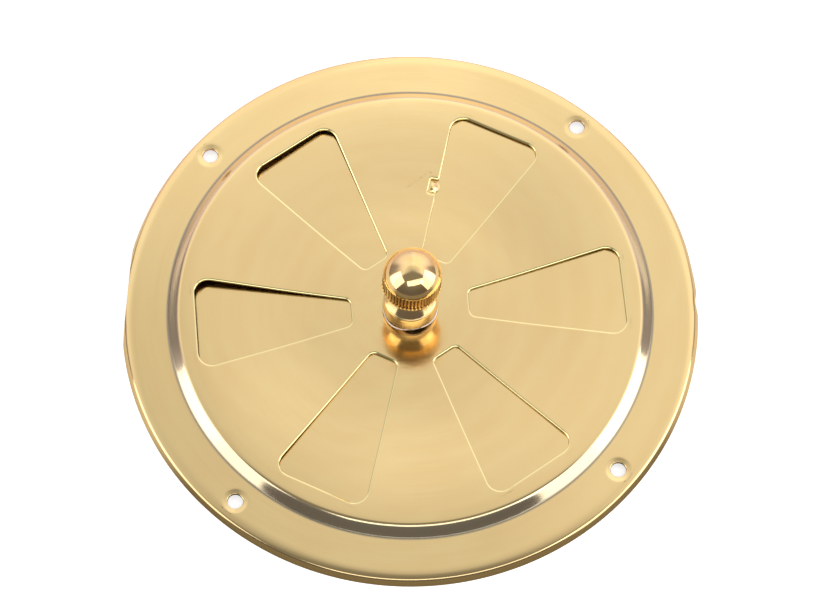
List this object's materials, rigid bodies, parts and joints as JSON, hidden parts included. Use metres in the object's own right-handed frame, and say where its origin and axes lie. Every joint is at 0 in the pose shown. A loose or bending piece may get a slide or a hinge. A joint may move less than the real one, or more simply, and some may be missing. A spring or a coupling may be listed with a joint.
{
  "type": "butterfly ventilator",
  "caption": "Round brass butterfly ventilator for a locker door or bulkhead: a windowed face plate and a turning shutter worked by a knurled knob.",
  "frame": {"origin": "centre of the plane that the rim's edge stands on, which is the face of the bulkhead or door that the ventilator is screwed to", "axes": "+Z along the knob, out of the front; +X through the middle of window 0; the four screw holes lie at 45 degrees to X and Y"},
  "size_m": [0.1269, 0.127, 0.0258],
  "materials": {
    "face_brass": "lacquered satin brass sheet, faintly grained, bright on its pressed edges",
    "shutter_brass": "lacquered satin brass sheet",
    "knob_brass": "turned and polished brass, straight-knurled round the grip",
    "spring_steel": "bright spring steel strip",
    "washer_steel": "plain steel, zinc plated",
    "washer_brass": "stamped brass, tumbled",
    "screw_brass": "turned brass, as machined"
  },
  "bodies": {
    "face": {"face_plate": "face_brass"},
    "rotor": {"shutter_plate": "shutter_brass", "knob": "knob_brass", "wave_washer": "spring_steel", "back_washer": "washer_brass", "lock_washer": "washer_steel", "spindle_screw": "screw_brass"}
  },
  "joints": [
    {"name": "shutter_turn", "type": "hinge", "parent": "face", "child": "rotor", "pos_m": [0, 0, 0.003], "axis": [0, 0, 1], "range_deg": [-26.5, 0]}
  ]
}
